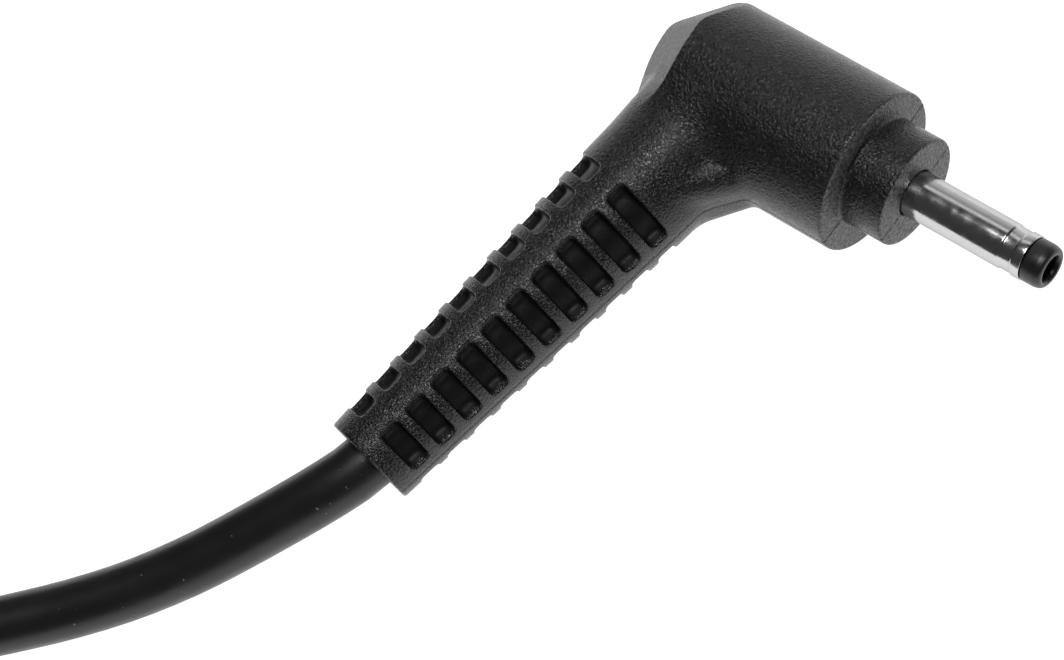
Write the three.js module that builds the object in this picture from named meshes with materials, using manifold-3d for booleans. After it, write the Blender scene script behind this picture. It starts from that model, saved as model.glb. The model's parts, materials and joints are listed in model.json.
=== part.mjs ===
// Laptop power adapter: a two-shell brick with its electronics, a figure-8 mains inlet,
// a thin output lead wound into a tied coil, and a right-angle barrel plug with a slotted strain relief.
// Units are millimetres, +Z is up. The origin is at the centre of the brick's underside.

import * as THREE from 'three';
import { mergeVertices } from 'three/addons/utils/BufferGeometryUtils.js';
import Module from 'manifold-3d';

const wasm = await Module();
wasm.setup();

// ---- driving dimensions: brick ----
const BRICK_LENGTH = 100;
const BRICK_WIDTH = 44;
const BRICK_HEIGHT = 28;
const BRICK_CORNER = 7;
const EDGE_ROUND = 2.4;
const WALL = 2.2;
const SEAM_HEIGHT = 14;
const SEAM_GAP = 0.4;
const FIT_GAP = 0.3;
const GROMMET_LENGTH = 20;
const GROMMET_NECK = 3.6;
const GROMMET_FLANGE = 4.8;
const GROMMET_FACE = 5.2;
const LED_PLACE = [33, 14.5];
const LIGHT_RADIUS = 1.4;

// ---- driving dimensions: mains inlet, figure-8 pattern ----
const INLET_WIDTH = 22;
const INLET_HEIGHT = 14;
const INLET_DEPTH = 20;
const SOCKET_WIDTH = 16.2;
const SOCKET_HEIGHT = 8;
const SOCKET_DEPTH = 12;
const PIN_SPACING = 8.6;
const PIN_RADIUS = 1.2;
const PIN_PROUD = 9.5;

// ---- driving dimensions: circuit board and its components ----
const BOARD_BOTTOM = 5.2;
const BOARD_THICKNESS = 1.6;
const BOARD_LENGTH = 90;
const BOARD_WIDTH = 37.6;
const PART_BASE = BOARD_BOTTOM + BOARD_THICKNESS + FIT_GAP;
const CORE_PLACE = [-17, 3];
const CORE_SIZE = [24, 10, 16];
const LEG_RADIUS = 4;
const WINDOW_RADIUS = 9;
const CORE_PLATE = 2.8;

// ---- driving dimensions: output lead ----
const CORD_RADIUS = 1.9;
const CORD_SIDES = 8;
const CORD_STEP = 2.6 * CORD_RADIUS;
const BORE_RADIUS = CORD_RADIUS + FIT_GAP;
const LAYER_RISE = 3.3;
const COIL_LAYERS = 4;
const TURNS_PER_LAYER = 3;
const COIL_MEAN_RADIUS = 21.2;
const COIL_CENTRE = [-61, -52.5];
const COIL_EASE = 1.3;
const TIE_THICKNESS = 0.9;
const TIE_WIDTH = 13;
const TIE_ANGLE = -30;

// ---- driving dimensions: right-angle plug ----
// plug frame: +X along the barrel, the lead leaves towards -Y leaning back, origin where the two axes cross
const PLUG_POSITION = [25, -39];
const PLUG_TURN = -30.2;
const RELIEF_LEAN = 10.2;
const BODY_RADIUS = 5.4;
const BODY_FRONT = 10.84;
const BODY_REAR = -6.4;
const NOSE_RADIUS = 3.65;
const NOSE_FRONT = 13.87;
const TIP_FRONT = 23.98;
const NECK_RADIUS = 4.45;
const BEVEL_ANGLE = 50;
const REAR_FACES = [[0, 6.65], [-42, 6.16], [18, 6.4]];
const RELIEF_START = 9.3;
const RELIEF_START_RADIUS = 4.15;
const RELIEF_END = 32.44;
const RELIEF_END_RADIUS = 3.15;
const CORE_RADIUS = 2.55;
const SLOT_COUNT = 10;
const SLOT_FIRST = 9.8;
const SLOT_PITCH = 2.22;
const SLOT_WIDTH = 1.18;
const SLOT_INNER = 1.2;
const SLOT_FLOOR = 0.4;
const SLEEVE_RADIUS = 1.5;
const SLEEVE_BORE = 1.18;
const CONTACT_RADIUS = 0.78;
const CONTACT_BORE = 0.55;
const JACKET_END = 6;
const HEAD_END = 5.6;
const NECK_START = 2.6;

const RAD = Math.PI / 180;

// ---- materials ----
const material = (color, roughness, metalness = 0) =>
  new THREE.MeshStandardMaterial({ color, roughness, metalness });

const paints = {
  casing: material(0x1d1d1e, 0.55),
  inlet: material(0x141415, 0.4),
  overmould: material(0x1b1b1c, 0.6),
  cord: material(0x1a1a1b, 0.38),
  tie: material(0x202021, 0.9),
  preMould: material(0xd8d5c8, 0.5),
  insulator: material(0x0d0d0e, 0.25),
  nickel: material(0xc9cacc, 0.22, 1),
  brass: material(0xb58e45, 0.35, 1),
  tin: material(0xb8babd, 0.45, 1),
  board: material(0x2f6b3a, 0.5),
  fishPaper: material(0xd9d2bd, 0.8),
  aluminium: material(0xa9abad, 0.4, 1),
  ferrite: material(0x34353a, 0.6),
  tape: material(0xd9b53a, 0.45),
  epoxy: material(0x1a1a1d, 0.45),
  capSleeve: material(0x23262e, 0.4),
  capYellow: material(0xd4b23c, 0.5),
  capBlue: material(0x2c5fa3, 0.45),
  lens: material(0xe8efe8, 0.15),
  wireRed: material(0xa81f1f, 0.5),
  wireBlack: material(0x161617, 0.5),
};

// ---- solids ----
function toSolid(geometry) {
  const bare = geometry.clone();
  bare.deleteAttribute('normal');
  bare.deleteAttribute('uv');
  const merged = mergeVertices(bare, 1e-4);
  const triVerts = Uint32Array.from(merged.index.array);
  const vertProperties = Float32Array.from(merged.attributes.position.array);
  const build = () => new wasm.Manifold(new wasm.Mesh({ numProp: 3, vertProperties, triVerts }));
  let solid = build();
  if (solid.volume() < 0) {
    for (let i = 0; i < triVerts.length; i += 3) {
      [triVerts[i], triVerts[i + 1]] = [triVerts[i + 1], triVerts[i]];
    }
    solid = build();
  }
  return solid;
}

function toGeometry(solid) {
  const mesh = solid.getMesh();
  const geometry = new THREE.BufferGeometry();
  const positions = new Float32Array(mesh.numVert * 3);
  for (let i = 0; i < mesh.numVert; i += 1) {
    for (let k = 0; k < 3; k += 1) {
      positions[i * 3 + k] = mesh.vertProperties[i * mesh.numProp + k];
    }
  }
  geometry.setAttribute('position', new THREE.BufferAttribute(positions, 3));
  geometry.setIndex(new THREE.BufferAttribute(Uint32Array.from(mesh.triVerts), 1));
  geometry.computeVertexNormals();
  return geometry;
}

const joined = (...solids) => solids.reduce((a, b) => a.add(b));
const cut = (solid, ...tools) => tools.reduce((a, b) => a.subtract(b), solid);

function box(size, centre) {
  const geometry = new THREE.BoxGeometry(...size);
  geometry.translate(...centre);
  return toSolid(geometry);
}

function boxBetween(low, high) {
  const size = high.map((h, k) => h - low[k]);
  const centre = high.map((h, k) => (h + low[k]) / 2);
  return box(size, centre);
}

// a closed solid turned from [radius, height] points about the Y axis
function turned(profile, segments = 24) {
  const points = profile.map(([r, y]) => new THREE.Vector2(r, y));
  return new THREE.LatheGeometry(points, segments);
}

const turnedAlongX = (profile, segments) => toSolid(turned(profile, segments).rotateZ(-Math.PI / 2));
const turnedAlongZ = (profile, segments) => toSolid(turned(profile, segments).rotateX(Math.PI / 2));

const rod = (radius, low, high) => [[0, low], [radius, low], [radius, high], [0, high]];
const pipe = (bore, radius, low, high) => (
  [[bore, low], [radius, low], [radius, high], [bore, high], [bore, low]]
);

function upright(radius, centre, low, high, segments = 20) {
  return turnedAlongZ(rod(radius, low, high), segments).translate([centre[0], centre[1], 0]);
}

function lying(radius, low, high, y, z, segments = 20) {
  return turnedAlongX(rod(radius, low, high), segments).translate([0, y, z]);
}

function roundedOutline(length, width, corner) {
  const x = length / 2;
  const y = width / 2;
  const shape = new THREE.Shape();
  shape.absarc(x - corner, y - corner, corner, 0, Math.PI / 2);
  shape.absarc(-x + corner, y - corner, corner, Math.PI / 2, Math.PI);
  shape.absarc(-x + corner, -y + corner, corner, Math.PI, Math.PI * 1.5);
  shape.absarc(x - corner, -y + corner, corner, Math.PI * 1.5, Math.PI * 2);
  return shape;
}

// a plate with round corners in plan and rounded top and bottom edges
function softBlock(length, width, low, high, corner, edge) {
  const shape = roundedOutline(length - 2 * edge, width - 2 * edge, corner - edge);
  const geometry = new THREE.ExtrudeGeometry(shape, {
    depth: high - low - 2 * edge,
    bevelEnabled: true,
    bevelThickness: edge,
    bevelSize: edge,
    bevelSegments: 2,
    curveSegments: 4,
  });
  geometry.translate(0, 0, low + edge);
  return toSolid(geometry);
}

// a round bar swept along a smooth curve through the points
function sweptBar(points, radius, sides, steps) {
  const section = new THREE.Shape();
  for (let i = 0; i < sides; i += 1) {
    const angle = ((i + 0.5) / sides) * 2 * Math.PI;
    const place = [radius * Math.cos(angle), radius * Math.sin(angle)];
    if (i === 0) section.moveTo(...place);
    else section.lineTo(...place);
  }
  section.closePath();
  const curve = new THREE.CatmullRomCurve3(points.map((p) => new THREE.Vector3(...p)), false, 'centripetal');
  return toSolid(new THREE.ExtrudeGeometry(section, { extrudePath: curve, steps, bevelEnabled: false }));
}

const model = new THREE.Group();
const plug = new THREE.Group();
plug.position.set(...PLUG_POSITION, BODY_RADIUS);
plug.rotation.z = PLUG_TURN * RAD;
model.add(plug);

function place(name, solid, paint, group = model) {
  const mesh = new THREE.Mesh(toGeometry(solid), paint);
  mesh.name = name;
  group.add(mesh);
}

// ---- brick: shells ----
const inletZ = PART_BASE + INLET_HEIGHT / 2;
const inletBack = BRICK_LENGTH / 2 - INLET_DEPTH;

function shellCutters() {
  const inlet = boxBetween(
    [inletBack - 1, -INLET_WIDTH / 2 - FIT_GAP, inletZ - INLET_HEIGHT / 2 - FIT_GAP],
    [BRICK_LENGTH / 2 + 1, INLET_WIDTH / 2 + FIT_GAP, inletZ + INLET_HEIGHT / 2 + FIT_GAP],
  );
  const face = -BRICK_LENGTH / 2;
  const grommet = lying(GROMMET_NECK + FIT_GAP, face - 1, face + WALL + 1, 0, SEAM_HEIGHT);
  return [inlet, grommet];
}

function shell(low, high) {
  const outer = softBlock(BRICK_LENGTH, BRICK_WIDTH, 0, BRICK_HEIGHT, BRICK_CORNER, EDGE_ROUND);
  const inner = softBlock(
    BRICK_LENGTH - 2 * WALL,
    BRICK_WIDTH - 2 * WALL,
    WALL,
    BRICK_HEIGHT - WALL,
    BRICK_CORNER - WALL,
    0.6,
  );
  const slab = boxBetween([-BRICK_LENGTH, -BRICK_WIDTH, low], [BRICK_LENGTH, BRICK_WIDTH, high]);
  return cut(outer.intersect(slab), inner, ...shellCutters());
}

function upperShell() {
  const ledHole = upright(LIGHT_RADIUS + FIT_GAP, LED_PLACE, BRICK_HEIGHT - 2 * WALL, BRICK_HEIGHT + 1);
  return cut(shell(SEAM_HEIGHT + SEAM_GAP / 2, BRICK_HEIGHT + 1), ledHole);
}

place('upper_shell', upperShell(), paints.casing);
place('lower_shell', shell(-1, SEAM_HEIGHT - SEAM_GAP / 2), paints.casing);

// ---- brick: mains inlet ----
function inletHousing() {
  const block = boxBetween(
    [inletBack, -INLET_WIDTH / 2, inletZ - INLET_HEIGHT / 2],
    [BRICK_LENGTH / 2, INLET_WIDTH / 2, inletZ + INLET_HEIGHT / 2],
  );
  const mouth = BRICK_LENGTH / 2 + 1;
  const floor = BRICK_LENGTH / 2 - SOCKET_DEPTH;
  const half = (SOCKET_WIDTH - SOCKET_HEIGHT) / 2;
  const lobes = [-half, half].map((y) => lying(SOCKET_HEIGHT / 2, floor, mouth, y, inletZ, 24));
  const waist = boxBetween(
    [floor, -half, inletZ - SOCKET_HEIGHT / 2 + 0.5],
    [mouth, half, inletZ + SOCKET_HEIGHT / 2 - 0.5],
  );
  const pinHoles = pinPlaces().map((y) => lying(PIN_RADIUS + 0.1, inletBack - 1, floor + 1, y, inletZ, 12));
  return cut(block, ...lobes, waist, ...pinHoles);
}

const pinPlaces = () => [-PIN_SPACING / 2, PIN_SPACING / 2];

function inletPin(y) {
  const tip = BRICK_LENGTH / 2 - SOCKET_DEPTH + PIN_PROUD;
  const tail = inletBack - 3;
  const profile = [[0, tail], [PIN_RADIUS, tail], [PIN_RADIUS, tip - 0.8], [0.5, tip], [0, tip]];
  return turnedAlongX(profile, 12).translate([0, y, inletZ]);
}

place('inlet_housing', inletHousing(), paints.inlet);
pinPlaces().forEach((y, i) => place(`inlet_pin_${i + 1}`, inletPin(y), paints.nickel));

// ---- brick: board and electronics ----
function onBoard(size, x, y, rise = 0) {
  return box(size, [x, y, PART_BASE + rise + size[2] / 2]);
}

place(
  'circuit_board',
  box([BOARD_LENGTH, BOARD_WIDTH, BOARD_THICKNESS], [0, 0, BOARD_BOTTOM + BOARD_THICKNESS / 2]),
  paints.board,
);
place('insulation_sheet', box([BOARD_LENGTH, BOARD_WIDTH, 0.5], [0, 0, 3.4]), paints.fishPaper);
place('fuse', upright(3.6, [24, -14], PART_BASE, PART_BASE + 8), paints.epoxy);
place('x_capacitor', onBoard([13, 6, 11], 22, 14), paints.capYellow);
place(
  'common_mode_choke',
  turnedAlongZ(pipe(3, 7, 0, 9), 20).translate([15, 1, PART_BASE]),
  paints.ferrite,
);
place('bridge_rectifier', onBoard([11, 3.4, 8], 9, 12.5), paints.epoxy);
place('bulk_capacitor', lying(6, -14, 6, -12.2, PART_BASE + 6), paints.capSleeve);
place('primary_heat_sink', onBoard([28, 1.6, 17], -4, 17.4), paints.aluminium);
place('switching_transistor', onBoard([10, 4.2, 14], -8, 14.1), paints.epoxy);

function transformerCore() {
  const block = onBoard(CORE_SIZE, ...CORE_PLACE);
  const window = turnedAlongZ(pipe(LEG_RADIUS, WINDOW_RADIUS, CORE_PLATE, CORE_SIZE[2] - CORE_PLATE), 24);
  return cut(block, window.translate([...CORE_PLACE, PART_BASE]));
}

function transformerWinding() {
  const low = CORE_PLATE + 0.2;
  const high = CORE_SIZE[2] - CORE_PLATE - 0.2;
  return turnedAlongZ(pipe(LEG_RADIUS + 0.3, WINDOW_RADIUS - 0.3, low, high), 24)
    .translate([...CORE_PLACE, PART_BASE]);
}

place('transformer_core', transformerCore(), paints.ferrite);
place('transformer_winding', transformerWinding(), paints.tape);
place('y_capacitor', onBoard([8, 2.6, 8], -22, -13), paints.capBlue);
place('optocoupler', onBoard([6.5, 4.6, 3.4], -24, 14.5), paints.epoxy);
place('output_rectifier', onBoard([4.2, 10, 14], -33.4, 8), paints.epoxy);
place('secondary_heat_sink', onBoard([1.6, 18, 16], -36.7, 8), paints.aluminium);
[-15, -6].forEach((y, i) => {
  place(`output_capacitor_${i + 1}`, upright(4, [-33, y], PART_BASE, PART_BASE + 14), paints.capSleeve);
});
place('status_led', upright(1.5, LED_PLACE, PART_BASE, PART_BASE + 5, 12), paints.lens);
place('light_pipe', upright(LIGHT_RADIUS, LED_PLACE, PART_BASE + 5.4, BRICK_HEIGHT, 12), paints.lens);

// ---- brick: strain relief where the output lead leaves ----
function brickStrainRelief() {
  const face = -BRICK_LENGTH / 2;
  const flange = face + WALL + FIT_GAP;
  const profile = [
    [BORE_RADIUS, face - GROMMET_LENGTH],
    [3, face - GROMMET_LENGTH],
    [4.2, face - FIT_GAP - 2.5],
    [GROMMET_FACE, face - FIT_GAP - 2.2],
    [GROMMET_FACE, face - FIT_GAP],
    [GROMMET_NECK, face - FIT_GAP],
    [GROMMET_NECK, flange],
    [GROMMET_FLANGE, flange],
    [GROMMET_FLANGE, flange + 1.8],
    [BORE_RADIUS, flange + 1.8],
    [BORE_RADIUS, face - GROMMET_LENGTH],
  ];
  return turnedAlongX(profile, 20).translate([0, 0, SEAM_HEIGHT]);
}

place('brick_strain_relief', brickStrainRelief(), paints.overmould);

const leadStart = -BRICK_LENGTH / 2 + 5.5;
const outputWires = [
  ['output_wire_positive', 0.9, paints.wireRed],
  ['output_wire_negative', -0.9, paints.wireBlack],
];
for (const [name, y, paint] of outputWires) {
  const route = [
    [leadStart + FIT_GAP, y, SEAM_HEIGHT],
    [leadStart + 2, y * 1.6, SEAM_HEIGHT - 0.6],
    [leadStart + 3.4, y * 2, 11],
    [leadStart + 3.6, y * 2, PART_BASE],
  ];
  place(name, sweptBar(route, 0.7, 6, 8), paint);
}

// ---- output lead: free stretches, coil and tie ----
const coilWidth = (TURNS_PER_LAYER + 0.5) * 2 * CORD_RADIUS;
const coilHeight = 2 * CORD_RADIUS + (COIL_LAYERS - 1) * LAYER_RISE;
const coilBottom = TIE_THICKNESS + FIT_GAP;

const BRICK_LEAD_ROUTE = [
  [leadStart, 0, 14],
  [-60, 0, 14],
  [-70, 0, 14],
  [-75, -0.2, 13.5],
  [-80, -1.8, 12.1],
  [-84.4, -5.2, 9.9],
  [-87.6, -10, 7.4],
  [-89.1, -16, 5.2],
  [-89.4, -23, 3.8],
  [-89.2, -30, 3.2],
  [-88.5, -37.5, 3.1],
];

const PLUG_LEAD_ROUTE = [
  [3.4, -64.2, 5.35],
  [0.8, -65.8, 4.9],
  [-1.9, -67.1, 4.2],
  [-4.7, -68.4, 3.5],
  [-7.4, -69.6, 2.9],
  [-10.2, -70.7, 2.4],
  [-13, -71.7, 2.1],
  [-17, -72.9, 1.9],
  [-20.9, -73.9, 1.9],
  [-26, -75.2, 2.6],
  [-31, -76.6, 4.6],
  [-36, -78, 7.4],
  [-41, -79.2, 10.2],
  [-45.5, -79.9, 12.2],
  [-48, -80.1, 12.8],
];

// from the relief's mouth back to where the jacket ends inside the plug, in the model frame
function jacketInsidePlug() {
  const turn = PLUG_TURN * RAD;
  const lean = RELIEF_LEAN * RAD;
  return [JACKET_END, 12, 22, RELIEF_END - 2].map((s) => {
    const x = -Math.sin(lean) * s;
    const y = -Math.cos(lean) * s;
    return [
      PLUG_POSITION[0] + x * Math.cos(turn) - y * Math.sin(turn),
      PLUG_POSITION[1] + x * Math.sin(turn) + y * Math.cos(turn),
      BODY_RADIUS,
    ];
  });
}

function leadSolid(route) {
  const length = route.slice(1).reduce(
    (sum, p, i) => sum + Math.hypot(...p.map((v, k) => v - route[i][k])),
    0,
  );
  return sweptBar(route, CORD_RADIUS, CORD_SIDES, Math.ceil(length / CORD_STEP));
}

function coilRing() {
  const inner = COIL_MEAN_RADIUS - coilWidth / 2;
  const outer = COIL_MEAN_RADIUS + coilWidth / 2;
  const top = coilBottom + coilHeight;
  const profile = [
    [inner, coilBottom + COIL_EASE],
    [inner + COIL_EASE, coilBottom],
    [outer - COIL_EASE, coilBottom],
    [outer, coilBottom + COIL_EASE],
    [outer, top - COIL_EASE],
    [outer - COIL_EASE, top],
    [inner + COIL_EASE, top],
    [inner, top - COIL_EASE],
    [inner, coilBottom + COIL_EASE],
  ];
  return turnedAlongZ(profile, 32).translate([...COIL_CENTRE, 0]);
}

function cordTie() {
  const inner = Math.sqrt((COIL_MEAN_RADIUS - coilWidth / 2) ** 2 - (TIE_WIDTH / 2) ** 2) - FIT_GAP;
  const outer = COIL_MEAN_RADIUS + coilWidth / 2 + FIT_GAP;
  const top = coilBottom + coilHeight + FIT_GAP;
  const strap = boxBetween(
    [inner - TIE_THICKNESS, -TIE_WIDTH / 2, 0],
    [outer + TIE_THICKNESS, TIE_WIDTH / 2, top + TIE_THICKNESS],
  );
  const window = boxBetween([inner, -TIE_WIDTH, TIE_THICKNESS], [outer, TIE_WIDTH, top]);
  return cut(strap, window).rotate([0, 0, TIE_ANGLE]).translate([...COIL_CENTRE, 0]);
}

place('brick_lead', leadSolid(BRICK_LEAD_ROUTE), paints.cord);
place('cord_coil', coilRing(), paints.cord);
place('cord_tie', cordTie(), paints.tie);
place('plug_lead', leadSolid([...jacketInsidePlug(), ...PLUG_LEAD_ROUTE]), paints.cord);

// ---- plug: overmould ----
const alongRelief = (solid) => solid.rotate([0, 0, 180 - RELIEF_LEAN]);
const turnedAlongRelief = (profile, segments) => alongRelief(toSolid(turned(profile, segments)));

function reliefRadius(s) {
  const t = (s - RELIEF_START) / (RELIEF_END - RELIEF_START);
  return RELIEF_START_RADIUS + t * (RELIEF_END_RADIUS - RELIEF_START_RADIUS);
}

// four rows of pockets, pulled straight up and down from a flat floor just off the parting plane
function reliefSlots() {
  const reach = NECK_RADIUS + 1;
  const pockets = [];
  for (let i = 0; i < SLOT_COUNT; i += 1) {
    const low = SLOT_FIRST + i * SLOT_PITCH;
    for (const side of [-1, 1]) {
      for (const face of [-1, 1]) {
        const u = [SLOT_INNER * side, reach * side].sort((a, b) => a - b);
        const z = [SLOT_FLOOR * face, reach * face].sort((a, b) => a - b);
        pockets.push(boxBetween([u[0], low, z[0]], [u[1], low + SLOT_WIDTH, z[1]]));
      }
    }
  }
  const core = toSolid(turned(rod(CORE_RADIUS, RELIEF_START - 2, RELIEF_END + 2), 16));
  return alongRelief(cut(joined(...pockets), core));
}

// the neck's upper end, which the rear faces cut
function neckHead() {
  const profile = [
    [0, -3.2],
    [3.6, -3.2],
    [NECK_RADIUS, -1.5],
    [NECK_RADIUS, 2],
    [4.35, HEAD_END],
    [0, HEAD_END],
  ];
  return turnedAlongRelief(profile, 24);
}

// the neck below the rear faces and the strain relief, down to the mouth
function reliefBody() {
  const profile = [
    [0, NECK_START],
    [3.5, NECK_START],
    [4.4, NECK_START + 1.4],
    [RELIEF_START_RADIUS, 7.5],
    [RELIEF_START_RADIUS, RELIEF_START],
    [RELIEF_END_RADIUS, RELIEF_END],
    [0, RELIEF_END],
  ];
  return turnedAlongRelief(profile, 24);
}

function barrelBody() {
  const profile = [
    [0, BODY_REAR],
    [BODY_RADIUS, BODY_REAR],
    [BODY_RADIUS, BODY_FRONT - 0.25],
    [BODY_RADIUS - 0.25, BODY_FRONT],
    [NOSE_RADIUS, BODY_FRONT],
    [NOSE_RADIUS, NOSE_FRONT - 0.25],
    [NOSE_RADIUS - 0.25, NOSE_FRONT],
    [0, NOSE_FRONT],
  ];
  return turnedAlongX(profile, 28);
}

// the rear is cut back by sloping faces, above and below, that meet at the parting plane
function rearBevels() {
  const cutters = [];
  for (const [turn, reach] of REAR_FACES) {
    const roof = box([20, 40, 20], [-10, 0, 10]).rotate([0, 90 - BEVEL_ANGLE, 0]);
    const behind = box([20, 40, 40], [-10, 0, 0]);
    const cutter = joined(roof, roof.mirror([0, 0, 1]), behind);
    cutters.push(cutter.translate([-reach, 0, 0]).rotate([0, 0, turn]));
  }
  return cutters;
}

function innerOutline(gap) {
  const across = turnedAlongX(rod(3.2 + gap, -2.6 - gap, 9.4 + gap), 20);
  const down = turnedAlongRelief(rod(3 + gap, 0, 8.6 + gap), 20);
  return joined(across, down);
}

function plugOvermould() {
  const head = cut(joined(barrelBody(), neckHead()), ...rearBevels());
  const outer = joined(head, reliefBody());
  const cordBore = turnedAlongRelief(rod(BORE_RADIUS, 8, RELIEF_END + 1), 20);
  const barrelBore = turnedAlongX(rod(SLEEVE_RADIUS + 0.35, 9, NOSE_FRONT + 1), 20);
  return cut(outer, reliefSlots(), innerOutline(0.25), cordBore, barrelBore);
}

function plugInnerMould() {
  const cordBore = turnedAlongRelief(rod(BORE_RADIUS, 0, 10), 20);
  const chamber = turnedAlongX(rod(2.3, -1.2, 10), 20);
  return cut(innerOutline(0), cordBore, chamber);
}

place('plug_overmould', plugOvermould(), paints.overmould, plug);
place('plug_inner_mould', plugInnerMould(), paints.preMould, plug);

// ---- plug: barrel contact set ----
function barrelSleeve() {
  const profile = [
    [SLEEVE_BORE, 4.2],
    [SLEEVE_RADIUS, 4.2],
    [SLEEVE_RADIUS, 7.6],
    [2.0, 7.6],
    [2.0, 9],
    [SLEEVE_RADIUS, 9],
    [SLEEVE_RADIUS, TIP_FRONT - 3],
    [SLEEVE_RADIUS - 0.08, TIP_FRONT - 2.9],
    [SLEEVE_RADIUS - 0.08, TIP_FRONT - 2.1],
    [SLEEVE_RADIUS, TIP_FRONT - 2],
    [SLEEVE_RADIUS, TIP_FRONT - 1.4],
    [SLEEVE_BORE, TIP_FRONT - 1.4],
    [SLEEVE_BORE, 4.2],
  ];
  const lug = boxBetween([2.2, 1.2, -0.8], [4.6, 1.48, 0.8]);
  return joined(turnedAlongX(profile, 24), lug);
}

function tipInsulator() {
  const profile = [
    [0.84, 5.2],
    [1.12, 5.2],
    [1.12, TIP_FRONT - 1.35],
    [1.44, TIP_FRONT - 1.35],
    [1.44, TIP_FRONT - 0.35],
    [1.1, TIP_FRONT],
    [0.84, TIP_FRONT],
    [0.84, 5.2],
  ];
  return turnedAlongX(profile, 24);
}

function centreContact() {
  const profile = [
    [0, 1.4],
    [0.45, 1.4],
    [0.45, 4],
    [CONTACT_RADIUS, 4],
    [CONTACT_RADIUS, TIP_FRONT - 1],
    [CONTACT_BORE, TIP_FRONT - 1],
    [CONTACT_BORE, TIP_FRONT - 11],
    [0, TIP_FRONT - 11],
  ];
  return turnedAlongX(profile, 20);
}

place('barrel_sleeve', barrelSleeve(), paints.nickel, plug);
place('tip_insulator', tipInsulator(), paints.insulator, plug);
place('centre_contact', centreContact(), paints.brass, plug);
place('insulating_washer', turnedAlongX(pipe(0.84, 1.12, 4.3, 5.1), 20), paints.preMould, plug);

// ---- plug: core wires and their solder joints ----
function reliefPoint(s, side) {
  const lean = RELIEF_LEAN * RAD;
  return [-Math.sin(lean) * s + Math.cos(lean) * side, -Math.cos(lean) * s - Math.sin(lean) * side, 0];
}

function coreWire(side, end) {
  const from = reliefPoint(JACKET_END - 0.4, side);
  const bend = reliefPoint(3, side * 0.9);
  return sweptBar([from, bend, end], 0.45, 6, 6);
}

const solderBead = (x, y) => toSolid(new THREE.IcosahedronGeometry(0.5, 1)).translate([x, y, 0]);

place('wire_positive', coreWire(0.8, [0.6, -1, 0]), paints.wireRed, plug);
place('wire_negative', coreWire(-0.8, [-0.7, 0.9, 0]), paints.wireBlack, plug);
place('solder_joint_centre', solderBead(0.85, 0), paints.tin, plug);
place('solder_joint_sleeve', solderBead(1.6, 1.45), paints.tin, plug);

export default model;
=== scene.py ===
"""A laptop power adapter in its looks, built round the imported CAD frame.

The right-angle plug is the detailed piece: its overmould is shaped as a signed distance field and turned
into a mesh, and its barrel is lathed. The lead is one curve from the brick, through its coil, to the plug.
Lengths in the shape functions are millimetres; every object is in metres.
"""

import json
import math

import bmesh
import bpy
import numpy as np
from mathutils import Matrix, Vector


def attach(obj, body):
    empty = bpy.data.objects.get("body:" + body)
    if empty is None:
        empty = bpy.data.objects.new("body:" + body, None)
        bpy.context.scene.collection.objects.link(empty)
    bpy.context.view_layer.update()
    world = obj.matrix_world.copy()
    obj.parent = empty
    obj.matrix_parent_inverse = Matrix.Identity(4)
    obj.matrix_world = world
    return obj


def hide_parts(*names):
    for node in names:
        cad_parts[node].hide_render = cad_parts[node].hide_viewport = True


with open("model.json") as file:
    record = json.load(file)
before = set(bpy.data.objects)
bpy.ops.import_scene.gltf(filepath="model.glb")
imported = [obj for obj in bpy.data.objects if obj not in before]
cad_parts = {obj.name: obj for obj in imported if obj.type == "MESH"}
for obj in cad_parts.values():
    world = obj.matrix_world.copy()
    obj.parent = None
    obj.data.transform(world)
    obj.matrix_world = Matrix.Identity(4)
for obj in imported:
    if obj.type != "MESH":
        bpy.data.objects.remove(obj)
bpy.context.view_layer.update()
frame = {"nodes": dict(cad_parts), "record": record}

MM = 0.001

# ---- the plug's own frame: +X along the barrel, the lead leaves towards -Y, origin where the axes cross ----
PLUG_PLACE = (25.0, -39.0)
PLUG_TURN = math.radians(-30.2)
RELIEF_LEAN = math.radians(10.2)
BODY_RADIUS = 5.4
BODY_FRONT = 10.84
BODY_REAR = -6.65
NOSE_RADIUS = 3.65
NOSE_FRONT = 13.87
TIP_FRONT = 23.98
ON_AXIS = 0.01
BODY_SAG = 0.175
REAR_CORNER = (0.744, -0.668, -6.16)
REAR_LOWER = (0.95, 0.31, -6.4)
REAR_ROUND = 0.5
ROOF_SLOPES = (1.3, 1.17)
NECK_STATIONS = (0.0, 3.0, 5.0, 7.0, 9.3)
NECK_RADII = (4.45, 4.42, 4.33, 4.2, 4.15)
RELIEF_START = 9.3
RELIEF_START_RADIUS = 4.15
RELIEF_END = 32.44
RELIEF_END_RADIUS = 3.15
CORE_DEPTH = 0.95
SLOT_COUNT = 10
SLOT_FIRST = 9.54
SLOT_PITCH = 2.22
SLOT_WIDTH = 1.45
SLOT_INNER = 0.85
SLOT_FLOOR = 0.75
SLEEVE_RADIUS = 1.5
WEB_REACH = 7.35
WEB_NORMAL = (0.724, -0.690)
WEB_THICKNESS = 2.65
WEB_ORIGIN = (2.9, -6.5)
WEB_FALL = 0.17
WEB_FALL_ALONG = (0.984, -0.179)
PARTING_DEPTH = 0.05
PARTING_WIDTH = 0.09
LEAD_BORE_START = 8.0
BARREL_BORE_RADIUS = 1.55
BARREL_BORE_DEPTH = 2.2
BODY_EDGE_ROUND = 0.22
FRONT_EDGE_ROUND = 0.2
NOSE_FOOT_ROUND = 0.25
WEB_ROUND = 0.3
WEB_EDGE_ROUND = 1.6
POCKET_ROUND = 0.5
POCKET_CORE_ROUND = 0.4
POCKET_EDGE_ROUND = 0.12
BORE_EDGE_ROUND = 0.1
FIELD_LOW = (-10.0, -34.5, -6.0)
FIELD_HIGH = (14.6, 6.6, 6.0)
FIELD_STEP = 0.1
SKIN_TRIANGLES = 190000

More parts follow.
